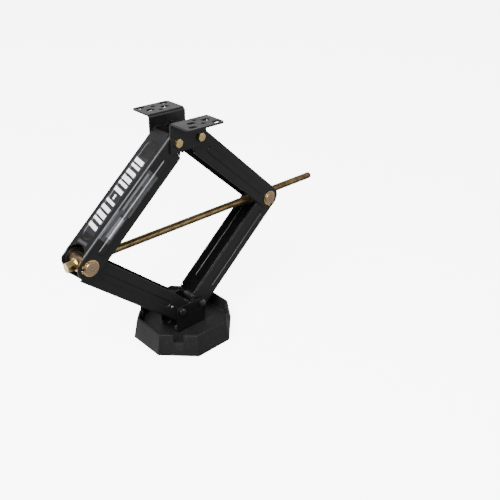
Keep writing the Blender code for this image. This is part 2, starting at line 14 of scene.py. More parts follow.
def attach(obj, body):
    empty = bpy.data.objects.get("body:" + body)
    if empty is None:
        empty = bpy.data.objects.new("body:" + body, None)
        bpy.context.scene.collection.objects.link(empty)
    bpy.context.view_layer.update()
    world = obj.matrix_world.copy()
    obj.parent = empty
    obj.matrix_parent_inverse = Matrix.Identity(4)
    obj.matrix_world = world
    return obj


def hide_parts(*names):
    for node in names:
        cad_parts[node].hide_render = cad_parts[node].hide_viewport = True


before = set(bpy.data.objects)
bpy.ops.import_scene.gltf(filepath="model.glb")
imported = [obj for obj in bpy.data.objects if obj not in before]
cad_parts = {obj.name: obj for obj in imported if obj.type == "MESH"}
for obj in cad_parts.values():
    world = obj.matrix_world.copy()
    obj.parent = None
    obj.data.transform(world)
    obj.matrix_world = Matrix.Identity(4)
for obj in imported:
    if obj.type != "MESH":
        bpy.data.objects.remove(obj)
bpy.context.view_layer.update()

# Linkage, as in the CAD model
ARM = 0.290
HALF_SPACING = 0.0285
FOLD = math.radians(43.25)
BASE_Z = 0.072
PIN_X = HALF_SPACING + ARM * math.cos(FOLD)
SCREW_Z = BASE_Z + ARM * math.sin(FOLD)
TOP_Z = BASE_Z + 2 * ARM * math.sin(FOLD)
MOUNT_Z = TOP_Z + 0.042
TILT = math.radians(1.63)          # each arm's channel against its pivot line
CHANNEL = FOLD - TILT
PIN_U, PIN_V = ARM * math.cos(TILT), -ARM * math.sin(TILT)
UPPER_FACE, LOWER_FACE = 0.0309, 0.0269   # inner faces of the bracket plates
BRACKET_PLATE = 0.0038
BOLT_HOLE = 0.0059
BASE_GRIP = (0.0310, 0.0228)       # a bolt's seat and its sleeve's half length, from the middle
TOP_GRIP = (0.0350, 0.0268)
BOLT_HEAD = 0.0064
BOLT_NUT = 0.0098
SLEEVE_RADIUS = 0.0088
PAD_FLOOR_Z = 0.019
FOOT_SCREWS = [(x, y) for x in (-0.031, 0.031) for y in (-0.012, 0.012)]
RING_THICKNESS = 0.0013
SPOT_FACE = 0.0128                 # flat on the drive trunnion, from its middle
SCREW_RADIUS = 0.00795
SCREW_TIP = 0.4154
GAP = 0.0003

BLACK = "satin_black_paint"
PAD = "matte_black_moulding"
GOLD = "yellow_zinc_plate"
ZINC = "clear_zinc_plate"
STEEL = "plain_steel"


# ---- materials

class Shader:
    """A procedural material: nodes are added by type, and an input takes a value or another node's output."""

    def __init__(self, name, roughness=0.5, metallic=0.0):
        self.material = bpy.data.materials.new(name)
        self.material.use_nodes = True
        self.tree = self.material.node_tree
        self.main = self.tree.nodes["Principled BSDF"]
        self.main.inputs["Metallic"].default_value = metallic
        self.main.inputs["Roughness"].default_value = roughness

    def put(self, target, value):
        if isinstance(value, bpy.types.NodeSocket):
            self.tree.links.new(value, target)
        else:
            target.default_value = value

    def add(self, kind, out=0, inputs=(), **settings):
        node = self.tree.nodes.new("ShaderNode" + kind)
        for key, value in settings.items():
            setattr(node, key, value)
        for key, value in dict(inputs).items():
            self.put(node.inputs[key], value)
        return node.outputs[out]

    def math(self, operation, a, b=0.0, c=0.0):
        node = self.tree.nodes.new("ShaderNodeMath")
        node.operation = operation
        for k, value in enumerate((a, b, c)):
            self.put(node.inputs[k], value)
        return node.outputs[0]

    def noise(self, scale, detail=3.0, roughness=0.55, at=None, out=0):
        vector = self.add("TexCoord", 3) if at is None else at
        inputs = {"Vector": vector, "Scale": scale, "Detail": detail, "Roughness": roughness}
        return self.add("TexNoise", out, inputs)

    def span(self, value, low, high, start=0.0, end=1.0):
        return self.add("MapRange", 0, {0: value, 1: start, 2: end, 3: low, 4: high})

    def ramp(self, value, *stops):
        node = self.tree.nodes.new("ShaderNodeValToRGB")
        elements = node.color_ramp.elements
        while len(elements) < len(stops):
            elements.new(0.5)
        for element, (position, colour) in zip(elements, stops):
            element.position = position
            element.color = (*colour, 1.0)
        self.put(node.inputs[0], value)
        return node.outputs[0]

    def mix(self, share, first, second):
        node = self.tree.nodes.new("ShaderNodeMix")
        node.data_type = "RGBA"
        self.put(node.inputs[0], share)
        self.put(node.inputs[6], first if isinstance(first, bpy.types.NodeSocket) else (*first, 1.0))
        self.put(node.inputs[7], second if isinstance(second, bpy.types.NodeSocket) else (*second, 1.0))
        return node.outputs[2]

    def bump(self, height, distance, strength=1.0, after=None):
        inputs = {"Height": height, "Distance": distance, "Strength": strength}
        if after is not None:
            inputs["Normal"] = after
        return self.add("Bump", 0, inputs)

    def set(self, **values):
        for key, value in values.items():
            self.put(self.main.inputs[key.replace("_", " ")], value)
        return self.material

    def inside(self, x, y, x_low, x_high, y_low, y_high, slant=0.0, soft=0.00025):
        """1 within a parallelogram whose sides lean by slant, and 0 outside it."""
        leaned = self.math("SUBTRACT", x, self.math("MULTIPLY", y, slant))
        sides = [
            self.span(leaned, 0, 1, x_low - soft, x_low + soft),
            self.span(leaned, 1, 0, x_high - soft, x_high + soft),
            self.span(y, 0, 1, y_low - soft, y_low + soft),
            self.span(y, 1, 0, y_high - soft, y_high + soft),
        ]
        product = sides[0]
        for side in sides[1:]:
            product = self.math("MULTIPLY", product, side)
        return product


def paint_base(s, base=(0.0032, 0.0032, 0.0036), lift=(0.0064, 0.0064, 0.0069), rough=(0.34, 0.46)):
    """Satin powder coat: cloudy gloss, orange peel and fine grit."""
    cloud = s.noise(38.0, 4.0)
    fine = s.noise(1500.0, 2.0)
    peel = s.noise(520.0, 2.0)
    colour = s.mix(cloud, base, lift)
    specks = s.span(fine, 0.0, 1.0, 0.60, 0.78)
    colour = s.mix(s.math("MULTIPLY", specks, 0.35), colour, (0.03, 0.03, 0.032))
    roughness = s.math("ADD", s.span(cloud, rough[0], rough[1], 0.3, 0.7), s.math("MULTIPLY", specks, 0.08))
    normal = s.bump(peel, 0.00012, 0.35)
    normal = s.bump(fine, 0.00006, 0.5, normal)
    return colour, roughness, normal


def black_paint(name="satin_black"):
    s = Shader(name)
    colour, roughness, normal = paint_base(s)
    return s.set(Base_Color=colour, Roughness=roughness, Normal=normal, Specular_IOR_Level=0.36)


def labelled_paint():
    """The left upper arm's paint, with plain bars on its web and a plain grey label on its front flange."""
    s = Shader("satin_black_labelled")
    colour, roughness, normal = paint_base(s)
    uv = s.add("UVMap", 0, uv_map="sheet")
    along = s.add("SeparateXYZ", 0, {0: uv})
    across = s.add("SeparateXYZ", 1, {0: uv})

    film = s.inside(along, across, 0.060, 0.238, -0.0205, 0.0160)
    bars = None
    for k in range(12):
        start = 0.0665 + 0.0138 * k
        width = (0.0095, 0.0062, 0.0084)[k % 3]
        low, high = (-0.0050, 0.0005) if k == 6 else (-0.0165, 0.0115)
        bar = s.inside(along, across, start, start + width, low, high, 0.18)
        bars = bar if bars is None else s.math("MAXIMUM", bars, bar)
    edge = s.noise(420.0, 3.0)
    bars = s.math("MULTIPLY", bars, s.span(edge, 0.86, 1.0, 0.25, 0.45))
    colour = s.mix(s.math("MULTIPLY", film, 0.5), colour, (0.026, 0.026, 0.034))
    colour = s.mix(bars, colour, (0.86, 0.86, 0.85))

    label_a = s.inside(along, across, 0.076, 0.172, 0.0330, 0.0600)
    label_b = s.inside(along, across, 0.170, 0.236, 0.0300, 0.0560)
    label = s.math("MAXIMUM", label_a, label_b)
    line_pitch = 0.0031
    rows = s.math("FRACT", s.math("MULTIPLY", across, 1 / line_pitch))
    rows = s.math("LESS_THAN", rows, 0.45)
    row = s.math("FLOOR", s.math("MULTIPLY", across, 1 / line_pitch))
    cell = s.add("CombineXYZ", 0, {0: s.math("MULTIPLY", along, 46.0), 1: row})
    corner = s.add("VectorMath", 0, {0: cell}, operation="FLOOR")
    lengths = s.math("GREATER_THAN", s.add("TexWhiteNoise", 0, {"Vector": corner}), 0.3)
    print_rows = s.math("MULTIPLY", s.math("MULTIPLY", rows, lengths), label)
    head = s.inside(along, across, 0.083, 0.166, 0.0355, 0.0400)
    plate = s.inside(along, across, 0.180, 0.226, 0.0410, 0.0530)
    colour = s.mix(s.math("MULTIPLY", label, 0.85), colour, (0.036, 0.037, 0.041))
    colour = s.mix(s.math("MULTIPLY", print_rows, 0.55), colour, (0.15, 0.15, 0.16))
    colour = s.mix(s.math("MULTIPLY", s.math("MAXIMUM", head, plate), 0.5), colour, (0.30, 0.30, 0.32))
    ticks = s.math("MULTIPLY", s.inside(along, across, 0.2555, 0.2615, -0.0150, 0.0150),
                   s.math("LESS_THAN", s.math("FRACT", s.math("MULTIPLY", across, 1 / 0.0034)), 0.5))
    colour = s.mix(s.math("MULTIPLY", ticks, 0.45), colour, (0.16, 0.16, 0.16))
    stuck = s.math("MAXIMUM", label, film)
    roughness = s.math("ADD", roughness, s.math("MULTIPLY", stuck, -0.06))
    normal = s.bump(s.math("MAXIMUM", stuck, bars), 0.00012, 0.6, normal)
    return s.set(Base_Color=colour, Roughness=roughness, Normal=normal, Specular_IOR_Level=0.36)


def pad_moulding():
    s = Shader("matte_black_moulding")
    cloud = s.noise(24.0, 5.0)
    grain = s.noise(1250.0, 3.0, 0.6)
    colour = s.mix(cloud, (0.0045, 0.0045, 0.0050), (0.0085, 0.0085, 0.0090))
    dust = s.span(s.noise(210.0, 4.0), 0.0, 0.30, 0.55, 0.80)
    colour = s.mix(dust, colour, (0.055, 0.055, 0.056))
    normal = s.bump(grain, 0.00016, 0.6)
    return s.set(Base_Color=colour, Roughness=s.span(cloud, 0.50, 0.62, 0.3, 0.7), Normal=normal,
                 Specular_IOR_Level=0.28)


def plating(name, stops, rough, scale=60.0, rings=False):
    """Plated steel: a drifting tint, fine scratches and, on a machined face, lathe marks about the Y axis."""
    s = Shader(name, metallic=1.0)
    place = s.add("TexCoord", 3)
    tint = s.noise(scale, 3.0, 0.5, place)
    if rings:
        x = s.add("SeparateXYZ", 0, {0: place})
        z = s.add("SeparateXYZ", 2, {0: place})
        radius = s.math("SQRT", s.math("ADD", s.math("MULTIPLY", x, x), s.math("MULTIPLY", z, z)))
        tint = s.math("ADD", s.math("MULTIPLY", tint, 0.55), s.math("MULTIPLY", radius, 27.0))
    colour = s.ramp(tint, *stops)
    spots = s.span(s.noise(700.0, 3.0, 0.6, place), 0.0, 0.45, 0.56, 0.75)
    colour = s.mix(spots, colour, tuple(0.62 * c for c in stops[0][1]))
    fine = s.noise(900.0, 2.0, 0.5, place)
    roughness = s.math("ADD", s.span(fine, rough[0], rough[1], 0.3, 0.7), s.math("MULTIPLY", spots, 0.15))
    normal = s.bump(fine, 0.00005, 0.35)
    if rings:
        marks = s.math("SINE", s.math("MULTIPLY", radius, 2 * math.pi / 0.00055))
        normal = s.bump(marks, 0.00001, 0.25, normal)
    return s.set(Base_Color=colour, Roughness=roughness, Normal=normal)


def make_finishes():
    yellow = (0.78, 0.54, 0.22)
    pale = (0.86, 0.68, 0.36)
    pink = (0.50, 0.335, 0.230)
    tan = (0.56, 0.43, 0.27)
    dull = (0.34, 0.31, 0.18)
    green = (0.58, 0.60, 0.32)
    rose = (0.74, 0.48, 0.30)
    # Painted shade: the lead screw's plating is the same yellow zinc, darkened to under half for the screw
    # lying in shade between the arms
    shaded_plate_dark, shaded_plate = (0.17, 0.125, 0.060), (0.30, 0.225, 0.115)
    dark_zinc, zinc = (0.12, 0.12, 0.125), (0.24, 0.24, 0.235)
    dark_steel, steel = (0.080, 0.077, 0.074), (0.17, 0.16, 0.15)
    return {
        "paint": black_paint(),
        "labelled": labelled_paint(),
        "pad": pad_moulding(),
        "gold": plating("yellow_zinc", ((0.30, green), (0.43, yellow), (0.55, pale), (0.70, rose)),
                        (0.20, 0.36)),
        "pin": plating("yellow_zinc_turned", ((0.28, dull), (0.45, pink), (0.62, pink), (0.74, tan)),
                       (0.24, 0.40), 80.0, True),
        # Painted shade: a darker copy of the yellow zinc plating, used for the lead screw
        "screw": plating("yellow_zinc_screw_in_painted_shade", ((0.35, shaded_plate_dark), (0.60, shaded_plate)), (0.28, 0.42), 45.0),
        "zinc": plating("clear_zinc", ((0.35, dark_zinc), (0.65, zinc)), (0.28, 0.42)),
        "steel": plating("plain_steel", ((0.35, dark_steel), (0.65, steel)), (0.38, 0.55)),
    }


# ---- mesh building

def object_from(name, points, faces, finish, body, slot, matrix=None, normals=None, uv=None, angle=32.0,
                nodes=None):
    """Makes a piece from points and faces. One with a body rides it and replaces the CAD nodes given."""
    mesh = bpy.data.meshes.new(name)
    mesh.from_pydata([tuple(p) for p in points], [], [tuple(int(i) for i in f) for f in faces])
    mesh.validate()
    mesh.materials.append(finish)
    mesh.shade_smooth()
    if uv is not None:
        layer = mesh.uv_layers.new(name="sheet")
        index = np.empty(len(mesh.loops), np.int32)
        mesh.loops.foreach_get("vertex_index", index)
        layer.data.foreach_set("uv", np.asarray(uv, np.float32)[index].ravel())
    if normals is None:
        mesh.set_sharp_from_angle(angle=math.radians(angle))
    else:
        mesh.normals_split_custom_set_from_vertices([tuple(n) for n in normals])
    obj = bpy.data.objects.new(name, mesh)
    bpy.context.scene.collection.objects.link(obj)
    if matrix is not None:
        obj.matrix_world = matrix
    if body:
        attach(obj, body)
        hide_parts(*(nodes or (name.removesuffix("_piece"),)))
    return obj


def arc(radius, start, end, steps, centre=(0.0, 0.0)):
    """Points along an arc, angles in degrees."""
    angles = np.radians(np.linspace(start, end, steps + 1))
    return [(centre[0] + radius * math.cos(a), centre[1] + radius * math.sin(a)) for a in angles]


def stadium(length, width, centre, steps=10):
    half = (length - width) / 2
    return (arc(width / 2, -90, 90, steps, (centre[0] + half, centre[1]))
            + arc(width / 2, 90, 270, steps, (centre[0] - half, centre[1])))


def signed_area(loop):
    p = np.asarray(loop)
    q = np.roll(p, -1, 0)
    return float((p[:, 0] * q[:, 1] - q[:, 0] * p[:, 1]).sum() / 2)


def tidy_loop(loop, anticlockwise):
    """Drops repeated points and turns a loop so that the material lies to its left."""
    kept = [np.asarray(loop[0], float)]
    for point in loop[1:]:
        if np.linalg.norm(np.asarray(point) - kept[-1]) > 2e-5:
            kept.append(np.asarray(point, float))
    if np.linalg.norm(kept[0] - kept[-1]) < 2e-5:
        kept.pop()
    kept = np.array(kept)
    return kept if (signed_area(kept) > 0) == anticlockwise else kept[::-1].copy()


def into_material(loop):
    """Unit directions from a loop's points into the material, and how far a mitre stretches them."""
    edge = np.roll(loop, -1, 0) - loop
    edge /= np.linalg.norm(edge, axis=1)[:, None]
    left = np.stack([-edge[:, 1], edge[:, 0]], 1)
    middle = left + np.roll(left, 1, 0)
    middle /= np.maximum(np.linalg.norm(middle, axis=1), 1e-9)[:, None]
    return middle, 1 / np.maximum((middle * left).sum(1), 0.6)


def is_inside(points, loops):
    x, y = points[:, 0], points[:, 1]
    found = np.zeros(len(points), bool)
    for loop in loops:
        for (x1, y1), (x2, y2) in zip(loop, np.roll(loop, -1, 0)):
            if y1 != y2:
                found ^= ((y1 > y) != (y2 > y)) & (x < (x2 - x1) * (y - y1) / (y2 - y1) + x1)
    return found


def distance_to(points, loops):
    nearest = np.full(len(points), 1e9)
    for loop in loops:
        start, step = loop, np.roll(loop, -1, 0) - loop
        length = (step * step).sum(1)
        share = ((points[:, None] - start) * step).sum(2) / length
        near = start + np.clip(share, 0, 1)[..., None] * step
        nearest = np.minimum(nearest, np.linalg.norm(points[:, None] - near, axis=2).min(1))
    return nearest


def slope(place, p, q, depth):
    """Unit tangents and the normal of a sheet's surface at a depth."""
    step = 2e-5
    along = place(p + step, q, depth) - place(p - step, q, depth)
    across = place(p, q + step, depth) - place(p, q - step, depth)
    normal = np.cross(along, across)
    unit = [v / np.maximum(np.linalg.norm(v, axis=1), 1e-12)[:, None] for v in (along, across, normal)]
    return unit


def sheet_body(name, outline, holes, lines, place, thickness, finish, body, slot=BLACK, matrix=None,
               fillet=0.0005, margin=0.0009):
    """A pressed sheet with rounded edges. Its flat outline is filled with triangles that follow the given
    lines, and place(p, q, depth) bends them into shape; depth 0 is the outer face."""
    loops = [tidy_loop(outline, True)] + [tidy_loop(hole, False) for hole in holes]
    inward = [into_material(loop) for loop in loops]
    inset = [loop + way * (fillet * stretch)[:, None] for loop, (way, stretch) in zip(loops, inward)]
    points, edges, spans = [], [], []
    for loop in inset:
        first = len(points)
        points += [tuple(p) for p in loop]
        edges += [(first + k, first + (k + 1) % len(loop)) for k in range(len(loop))]
        spans.append((first, len(loop)))
    for line, closed in lines:
        line = np.asarray(line, float)
        following = np.roll(line, -1, 0)
        good = is_inside(line, inset) & (distance_to(line, inset) > margin)
        middle = (line + following) / 2
        linked = good & np.roll(good, -1) & (distance_to(middle, inset) > margin * 0.6)
        if not closed:
            linked[-1] = False
        index = np.cumsum(good) - 1 + len(points)
        points += [tuple(p) for p in line[good]]
        edges += [(int(index[k]), int(index[(k + 1) % len(line)])) for k in np.flatnonzero(linked)]
    made = delaunay_2d_cdt([Vector(p) for p in points], edges, [], 0, 1e-7)
    flat = np.array([tuple(v) for v in made[0]])
    triangles = np.array([f for f in made[2] if len(f) == 3])
    triangles = triangles[is_inside(flat[triangles].mean(1), inset)]
    where = {}
    for new, olds in enumerate(made[3]):
        for old in olds:
            where[old] = new

    p, q = flat[:, 0], flat[:, 1]
    near, far = np.zeros(len(p)), np.full(len(p), thickness)
    outer, inner = place(p, q, near), place(p, q, far)
    sign = 1.0 if (slope(place, p, q, near)[2] * (outer - inner)).sum() > 0 else -1.0
    verts = [outer, inner]
    normals = [sign * slope(place, p, q, near)[2], -sign * slope(place, p, q, far)[2]]
    uvs = [flat, flat]
    quads = []
    count = 2 * len(p)
    for loop, (way, stretch), (first, size) in zip(loops, inward, spans):
        chain = [[where[first + k] for k in range(size)]]
        for share, depth, lean in ((0.293, 0.293 * fillet, 1), (0, fillet, 0), (0, thickness - fillet, 0),
                                   (0.293, thickness - 0.293 * fillet, -1)):
            ring = loop + way * (share * fillet * stretch)[:, None]
            d = np.full(size, depth)
            along, across, normal = slope(place, ring[:, 0], ring[:, 1], d)
            outward = -(along * way[:, :1] + across * way[:, 1:])
            outward /= np.linalg.norm(outward, axis=1)[:, None]
            lean_to = outward + lean * sign * normal
            verts.append(place(ring[:, 0], ring[:, 1], d))
            normals.append(lean_to / np.linalg.norm(lean_to, axis=1)[:, None])
            uvs.append(ring)
            chain.append([count + k for k in range(size)])
            count += size
        chain.append([where[first + k] + len(p) for k in range(size)])
        for a, b in zip(chain, chain[1:]):
            quads += [(a[k], a[(k + 1) % size], b[(k + 1) % size], b[k]) for k in range(size)]
    verts, normals, uvs = np.vstack(verts), np.vstack(normals), np.vstack(uvs)
    faces = [tuple(f) for f in triangles] + [tuple(f + len(p)) for f in triangles] + quads
    turned = []
    for face in faces:
        corners = verts[list(face)]
        across = np.cross(corners[1] - corners[0], corners[2] - corners[0])
        if len(face) == 4:
            across = across + np.cross(corners[2] - corners[0], corners[3] - corners[0])
        turned.append(face if across @ normals[list(face)].sum(0) >= 0 else face[::-1])
    return object_from(name, verts, turned, finish, body, slot, matrix, normals, uvs)


def skin(rings, closed=False):
    """Points and faces of a surface through equal rings, capped unless the rings form a closed loop."""
    rings = [np.asarray(r, float) for r in rings]
    size = len(rings[0])
    points = np.vstack(rings)
    faces = []
    for j in range(len(rings) - 1):
        a, b = j * size, (j + 1) * size
        faces += [(a + k, a + (k + 1) % size, b + (k + 1) % size, b + k) for k in range(size)]
    if closed:
        a, b = (len(rings) - 1) * size, 0
        faces += [(a + k, a + (k + 1) % size, b + (k + 1) % size, b + k) for k in range(size)]
    else:
        faces.append(tuple(range(size))[::-1])
        last = (len(rings) - 1) * size
        faces.append(tuple(last + k for k in range(size)))
    volume = 0.0
    for face in faces:
        corners = points[list(face)]
        for k in range(1, len(face) - 1):
            volume += corners[0] @ np.cross(corners[k], corners[k + 1])
    if volume < 0:
        faces = [f[::-1] for f in faces]
    return points, faces


def on_axis(axis, radius, along, angle):
    """Cylindrical points about an axis through the origin."""
    c, s = radius * np.cos(angle), radius * np.sin(angle)
    along = np.broadcast_to(along, np.shape(c))
    order = {"X": (along, c, s), "Y": (s, along, c), "Z": (c, s, along)}[axis]
    return np.stack(order, -1)


def turned(name, profile, axis, finish, body, slot, centre, sides=64, bored=False, nodes=None, angle=32.0):
    """A lathe-turned piece from (radius, position) points; a bored one is a closed loop of them."""
    angles = np.linspace(0, 2 * math.pi, sides, endpoint=False)
    rings = [on_axis(axis, max(r, 1e-6), t, angles) for r, t in profile]
    points, faces = skin(rings, bored)
    place = Matrix.Translation(centre)
    return object_from(name, points, faces, finish, body, slot, place, angle=angle, nodes=nodes)


def hex_radius(across, angle, rounding=0.00035):
    """Distance from the axis to a hexagon's side, with slightly rounded corners."""
    turn = np.mod(angle, math.pi / 3) - math.pi / 6
    plain = across / 2 / np.cos(turn)
    corner = across / 2 / math.cos(math.pi / 6) - rounding
    return plain - np.maximum(plain - corner, 0) * 0.75


def hex_piece(name, axis, across, low, high, turn, finish, body, slot, centre, chamfers=(True, True),
              bore=0.0, washer=0.0, nodes=None):
    """A hexagon head, nut or socket drive with cone-chamfered ends, from low to high along its axis."""
    angles = np.linspace(0, 2 * math.pi, 144, endpoint=False)
    shape = hex_radius(across, angles)
    flat = across / 2 * 0.965
    drop = math.tan(math.radians(28))
    side = 1 if high > low else -1

    def end(at, inward, chamfered):
        made = []
        cut = (shape - flat) * drop if chamfered else np.full_like(shape, 0.0002)
        for share in (bore / flat if bore else 0.0, 0.9, 1.0):
            made.append((np.full_like(angles, max(flat * share, 1e-6)), np.full_like(angles, at)))
        for share in (0.35, 0.7, 1.0):
            made.append((flat + (shape - flat) * share, at + inward * cut * share))
        made.append((shape, at + inward * (cut + 0.00025)))
        return made

    first = end(low, side, chamfers[0])
    if washer:
        face = low - side * washer
        disc = across / 2 * 0.93
        first = [(np.full_like(angles, bore or 1e-6), np.full_like(angles, face)),
                 (np.full_like(angles, disc), np.full_like(angles, face)),
                 (np.full_like(angles, disc), np.full_like(angles, low))] + first[2:]
    last = end(high, -side, chamfers[1])[::-1]
    rings = [on_axis(axis, r, t, angles + turn) for r, t in first + last]
    points, faces = skin(rings, bool(bore))
    place = Matrix.Translation(centre)
    return object_from(name, points, faces, finish, body, slot, place, angle=22.0, nodes=nodes)


def thread(name, axis, radius, depth, pitch, low, high, finish, body, slot, centre, nodes=None):
    """A right-hand threaded bar: every ring of its surface climbs by one pitch per turn."""
    root = radius - depth
    shape = ((radius, 0.00), (radius, 0.32), (root, 0.50), (root, 0.82))
    angles = np.linspace(0, 2 * math.pi, 40, endpoint=False)
    climb = pitch * angles / (2 * math.pi)
    rings = []
    for turn in range(-1, int((high - low) / pitch) + 2):
        for r, share in shape:
            along = low + (turn + share) * pitch + climb
            near_end = np.minimum(along - low, high - along)
            radial = np.minimum(r, root + np.clip(near_end, 0, None) * 0.9)
            rings.append(on_axis(axis, radial, np.clip(along, low, high), angles))
    points, faces = skin(rings)
    place = Matrix.Translation(centre)
    return object_from(name, points, faces, finish, body, slot, place, angle=40.0, nodes=nodes)


def apply_changes(obj):
    """Makes an object's modifiers permanent."""
    evaluated = obj.evaluated_get(bpy.context.evaluated_depsgraph_get())
    mesh = bpy.data.meshes.new_from_object(evaluated)
    obj.modifiers.clear()
    obj.data = mesh
    return obj


def cut(obj, *cutters):
    """Cuts an object with others, which are then deleted."""
    for cutter in cutters:
        modifier = obj.modifiers.new("Cut", "BOOLEAN")
        modifier.operation = "DIFFERENCE"
        modifier.object = cutter
    bpy.context.view_layer.update()
    apply_changes(obj)
    for cutter in cutters:
        bpy.data.objects.remove(cutter)
    obj.data.shade_smooth()
    obj.data.set_sharp_from_angle(angle=math.radians(32))
    return obj


def soften(obj, width):
    """Rounds an object's sharp edges."""
    modifier = obj.modifiers.new("Round", "BEVEL")
    modifier.width = width
    modifier.segments = 2
    modifier.limit_method = "ANGLE"
    modifier.angle_limit = math.radians(50)
    bpy.context.view_layer.update()
    apply_changes(obj)
    obj.data.shade_smooth()
    obj.data.set_sharp_from_angle(angle=math.radians(40))
    return obj


def rod_cutter(axis, radius, low, high, centre):
    profile = [(0, low), (radius, low), (radius, high), (0, high)]
    return turned("cutter", profile, axis, None, None, None, centre, 48)


# ---- arms

SHEET = 0.0035
BEND = 0.005
TEETH = 20
ROOT, TIP = 0.0252, 0.0308

# Half width; web and open edge from the inner pivot; the flange bead's height, middle line, half width and
# ends; depth of the panel pressed into the web; centre and radius of the scoop in the web's outer end
UPPER = {"half": 0.0306, "web": 0.0194, "edge": 0.0331, "bead": 0.0023, "centre": -0.0075, "width": 0.0078,
         "span": (0.037, 0.262), "panel": 0.0011, "scoop": (0.2945, 0.0308)}
LOWER = {"half": 0.0266, "web": 0.0249, "edge": 0.0302, "bead": -0.0021, "centre": -0.0025, "width": 0.0080,
         "span": (0.040, 0.256), "panel": 0.0, "scoop": (0.290, 0.0228)}
BEAD_SLOPE = 0.0022                # width of a bead's sloping side
PANEL = (0.020, 0.252, 0.0, 0.0170)   # ends, middle line and half width of the pressed panel
PANEL_SLOPE = 0.0035
PIN_HOLE = 0.0144


def stadium_depth(x, y, low, high, centre, width):
    """How far inside a long rounded shape a point lies."""
    middle, half = (low + high) / 2, (high - low) / 2 - width
    return width - np.hypot(np.maximum(np.abs(x - middle) - half, 0), y - centre)


def ease(x):
    x = np.clip(x, 0, 1)
    return x * x * (3 - 2 * x)


def arm_place(kind):
    half, web = kind["half"], kind["web"]
    flat = half - BEND

    def place(p, q, depth):
        side, w = np.sign(q), np.abs(q)
        phi = np.clip((w - flat) / BEND, 0, math.pi / 2)
        extra = np.maximum(w - flat - BEND * math.pi / 2, 0)
        across = np.minimum(w, flat) + (BEND - depth) * np.sin(phi)
        height = web - BEND + (BEND - depth) * np.cos(phi) - extra
        bead = stadium_depth(p, web - BEND - extra, *kind["span"], kind["centre"], kind["width"])
        across = across + kind["bead"] * ease(bead / BEAD_SLOPE) * (extra > 0)
        if kind["panel"]:
            height = height - kind["panel"] * ease(stadium_depth(p, q, *PANEL) / PANEL_SLOPE) * (w <= flat)
        return np.stack([p, side * across, height], -1)

    return place


def across_sheet(kind, v):
    """Flat position of a point at height v on the bend or flange, seen from the side."""
    flat, low = kind["half"] - BEND, kind["web"] - BEND
    v = np.asarray(v, float)
    on_bend = flat + BEND * np.arccos(np.clip((v - low) / BEND, -1, 1))
    return np.where(v > low, on_bend, flat + BEND * math.pi / 2 + low - v)


def arm_outline(kind, phase):
    """Half of the flat outline, from the middle of the web's inner end round to that of its outer end."""
    flat, web, edge = kind["half"] - BEND, kind["web"], kind["edge"]
    tab = flat - 0.0036
    start = [(-0.004, 0.0), (-0.004, tab - 0.0016)] + arc(0.0014, 180, 90, 3, (-0.0026, tab - 0.0014))[1:]
    start += [(0.003, tab), (0.0041, tab + 0.0008), (0.0041, flat - 0.0018)]
    start += [(0.003, flat - 0.0009), (0.0006, flat - 0.0006)]
    side = arc(web, 93, 163, 16)
    middle = 180 + phase - math.degrees(TILT)
    first, last = middle - 9, middle - 9 + 7 * 18
    for angle in np.linspace(first, last, 7 * 14 + 1):
        wave = math.cos(math.radians((angle - middle) * TEETH))
        share = 0.5 + 0.5 * math.tanh(2.4 * (wave - 0.22)) / math.tanh(2.4 * 0.78)
        radius = ROOT + (TIP - ROOT) * min(max(share, 0.0), 1.0)
        side.append((radius * math.cos(math.radians(angle)), radius * math.sin(math.radians(angle))))
    side += arc(0.004, 180, 270, 4, (side[-1][0] + 0.0045, -edge + 0.004))
    if kind is UPPER:
        side += arc(0.02625, -90, 60, 28, (PIN_U, kind["web"] - 0.02625))
        high = web - BEND + BEND * math.cos(1.08)
        side += [(0.3012, high)]
        scoop_x, scoop_r = kind["scoop"]
        end_q = flat + BEND * 1.08
        finish = [(0.2925, end_q), (0.2908, end_q - 0.0003)]
        finish += arc(scoop_r, 98, 180, 40, (scoop_x, 0.0))
    else:
        side += arc(edge + PIN_V, -90, 70, 26, (PIN_U, PIN_V))
        side += [(0.2945, 0.0152), (0.2915, 0.0184), (0.2898, 0.0208)]
        side += [(0.2891, 0.0228), (0.2890, 0.0238), (0.2890, 0.0247)]
        scoop_x, scoop_r = kind["scoop"]
        finish = [(0.2890, flat + 0.0002), (0.2886, flat - 0.0002)]
        finish += [(0.2876, flat - 0.0004), (0.2850, flat - 0.0004)]
        angle = 180 - math.degrees(math.asin((flat - 0.0006) / scoop_r))
        finish += arc(scoop_r, angle, 180, 30, (scoop_x, 0.0))
    side = np.array(side)
    bent = [(u, float(across_sheet(kind, v))) for u, v in side]
    return start + bent + finish


def arm(name, kind, phase, matrix, finish, body):
    half = arm_outline(kind, phase)
    outline = half + [(u, -q) for u, q in half[::-1]]
    flat = kind["half"] - BEND
    pivot, pin = (float(across_sheet(kind, v)) for v in (0.0, PIN_V))
    holes = []
    for sign in (1, -1):
        holes.append(arc(BOLT_HOLE, 0, 351, 39, (0.0, sign * pivot)))
        holes.append(arc(PIN_HOLE, 0, 354, 59, (PIN_U, sign * pin)))
    lines = []
    along = np.arange(-0.030, 0.320, 0.004)
    for k in range(9):
        q = flat + BEND * math.radians(90) * k / 8
        for sign in (1, -1):
            lines.append((np.stack([along, np.full_like(along, sign * q)], -1), False))
    width, (low, high) = kind["width"], kind["span"]
    for level in (-0.0004, 0.0, 0.0004, 0.0008, 0.0012, 0.0016, 0.0019, 0.0022, 0.0027):
        ring = stadium_ring(low, high, kind["centre"], width, level)
        for sign in (1, -1):
            q = sign * across_sheet(kind, ring[:, 1])
            lines.append((np.stack([ring[:, 0], q], -1), True))
    if kind["panel"]:
        for level in (-0.0005, 0.0, 0.0006, 0.0012, 0.0018, 0.0024, 0.0030, 0.0035, 0.0040):
            lines.append((stadium_ring(*PANEL, level), True))
    return sheet_body(name, outline, holes, lines, arm_place(kind), SHEET, finish, body, matrix=matrix)


